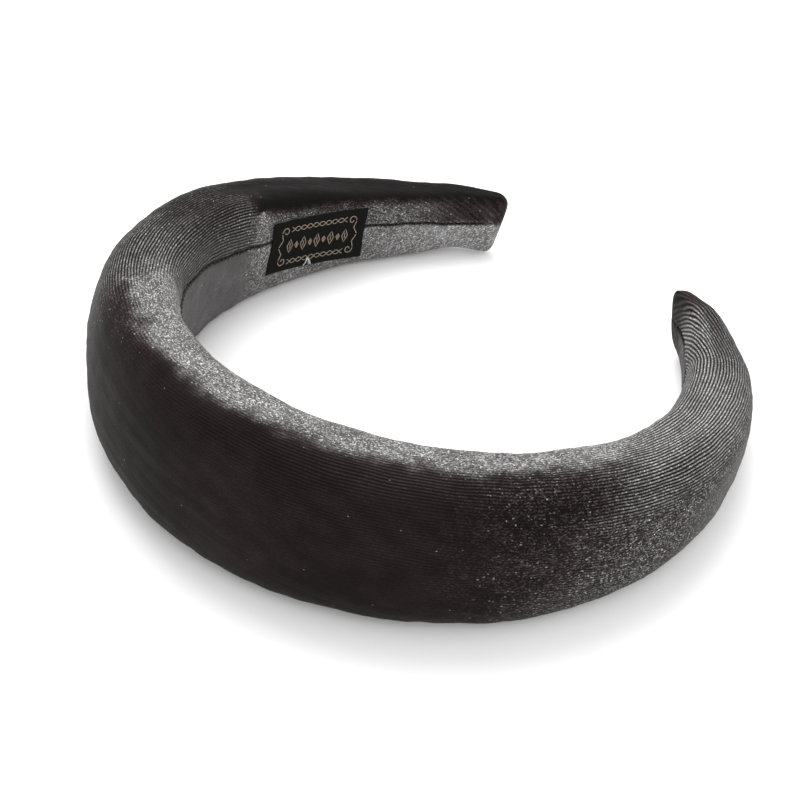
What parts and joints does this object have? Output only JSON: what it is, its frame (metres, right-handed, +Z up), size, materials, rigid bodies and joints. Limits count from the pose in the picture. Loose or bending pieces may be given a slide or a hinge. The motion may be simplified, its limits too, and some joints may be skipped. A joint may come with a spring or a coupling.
{
  "type": "padded headband",
  "caption": "Wide padded headband covered in crushed metallic velvet, an open ring that springs apart at the crown to grip the head.",
  "frame": {"origin": "under the middle of the band's box, on the table it lies on", "axes": "+Z up, -Y towards the front of the crown, +Y towards the two tips, +X towards the wearer's right-hand arm of the band as it lies"},
  "size_m": [0.174, 0.1648, 0.0471],
  "materials": {
    "velvet": "crushed velvet with a metallic thread",
    "core_plastic": "matt black",
    "foam": "open-cell foam",
    "tape": "translucent film",
    "glue": "clear dried glue",
    "seam_thread": "dark twisted thread",
    "label_weave": "satin woven label",
    "white_thread": "white cotton thread"
  },
  "bodies": {
    "left_half": {"cover_left": "velvet", "glue_film_left": "glue", "core_left": "core_plastic", "foam_tape_left": "tape", "foam_left": "foam", "seam_stitches_left": "seam_thread", "tip_stitches_left": "seam_thread", "woven_label": "label_weave", "label_glue": "glue", "label_thread": "white_thread"},
    "right_half": {"cover_right": "velvet", "glue_film_right": "glue", "core_right": "core_plastic", "foam_tape_right": "tape", "foam_right": "foam", "seam_stitches_right": "seam_thread", "tip_stitches_right": "seam_thread"}
  },
  "joints": [
    {"name": "crown_flex", "type": "hinge", "parent": "left_half", "child": "right_half", "pos_m": [0, -0.08223, 0.02557], "axis": [0, -0.1011, -0.9949], "range_deg": [0, 20], "stiffness_Nm_per_rad": 0.8}
  ]
}
